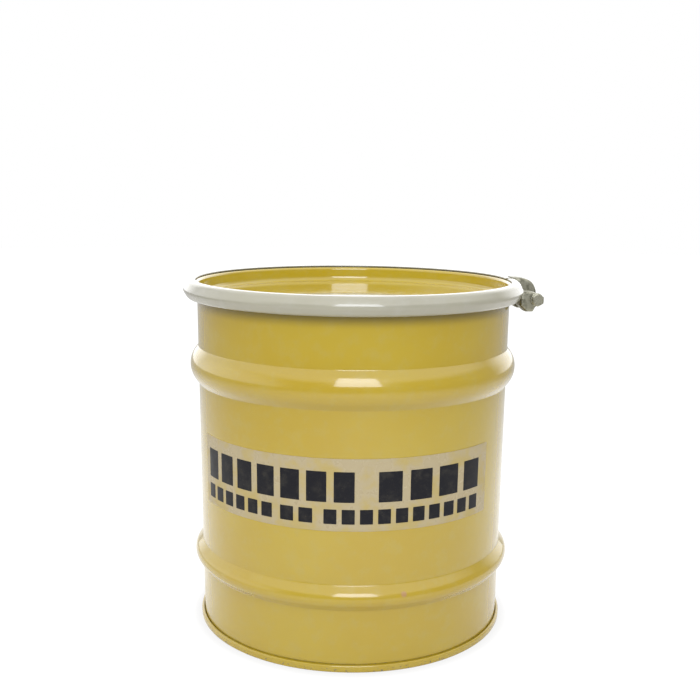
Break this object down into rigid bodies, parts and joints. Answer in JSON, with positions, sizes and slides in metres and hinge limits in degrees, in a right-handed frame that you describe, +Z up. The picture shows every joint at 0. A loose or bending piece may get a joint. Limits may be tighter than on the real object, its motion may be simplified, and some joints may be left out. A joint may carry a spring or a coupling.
{
  "type": "overpack salvage drum",
  "caption": "Squat open-head steel drum with rolling hoops, a recessed gasketed cover and a bolted closing ring, for packing leaking or damaged smaller containers.",
  "frame": {"origin": "centre of the circle that the chime stands on, on the drum's axis", "axes": "+Z up along the drum's axis; the middle of the label faces -Y; the middle of the closure lies 11 degrees from +X towards +Y"},
  "size_m": [0.4128, 0.389, 0.404],
  "materials": {
    "body_paint": "satin",
    "ring_paint": "satin",
    "zinc_steel": "satin",
    "gasket_rubber": "matte",
    "seam_compound": "matte",
    "label_film": "satin"
  },
  "bodies": {
    "drum": {"drum_shell": "body_paint", "bottom_head": "body_paint", "seam_compound": "seam_compound", "label_film": "label_film"},
    "cover": {"cover": "body_paint", "cover_gasket": "gasket_rubber"},
    "ring": {"closing_ring": "ring_paint", "plain_lug": "zinc_steel", "threaded_lug": "zinc_steel"},
    "bolt_carriage": {"bolt_washer": "zinc_steel"},
    "bolt": {"closing_bolt": "zinc_steel"},
    "lock_nut": {"lock_nut": "zinc_steel"}
  },
  "joints": [
    {"name": "cover_lift", "type": "slide", "parent": "drum", "child": "cover", "axis": [0, 0, 1], "range_m": [0, 0.15]},
    {"name": "ring_lift", "type": "slide", "parent": "cover", "child": "ring", "axis": [0, 0, 1], "range_m": [0, 0.1], "deforming": ["closing_ring"]},
    {"name": "bolt_travel", "type": "slide", "parent": "ring", "child": "bolt_carriage", "axis": [0.1908, -0.9816, 0], "range_m": [0, 0.0365]},
    {"name": "bolt_spin", "type": "hinge", "parent": "bolt_carriage", "child": "bolt", "pos_m": [0.20467, 0.03978, 0.3825], "axis": [0.1908, -0.9816, 0], "range_deg": [0, 9320]},
    {"name": "nut_spin", "type": "hinge", "parent": "ring", "child": "lock_nut", "pos_m": [0.20467, 0.03978, 0.3825], "axis": [0.1908, -0.9816, 0], "continuous": true}
  ],
  "couplings": [
    {"joint": "bolt_spin", "follows": "bolt_travel", "rad_per_m": 4452.7}
  ]
}
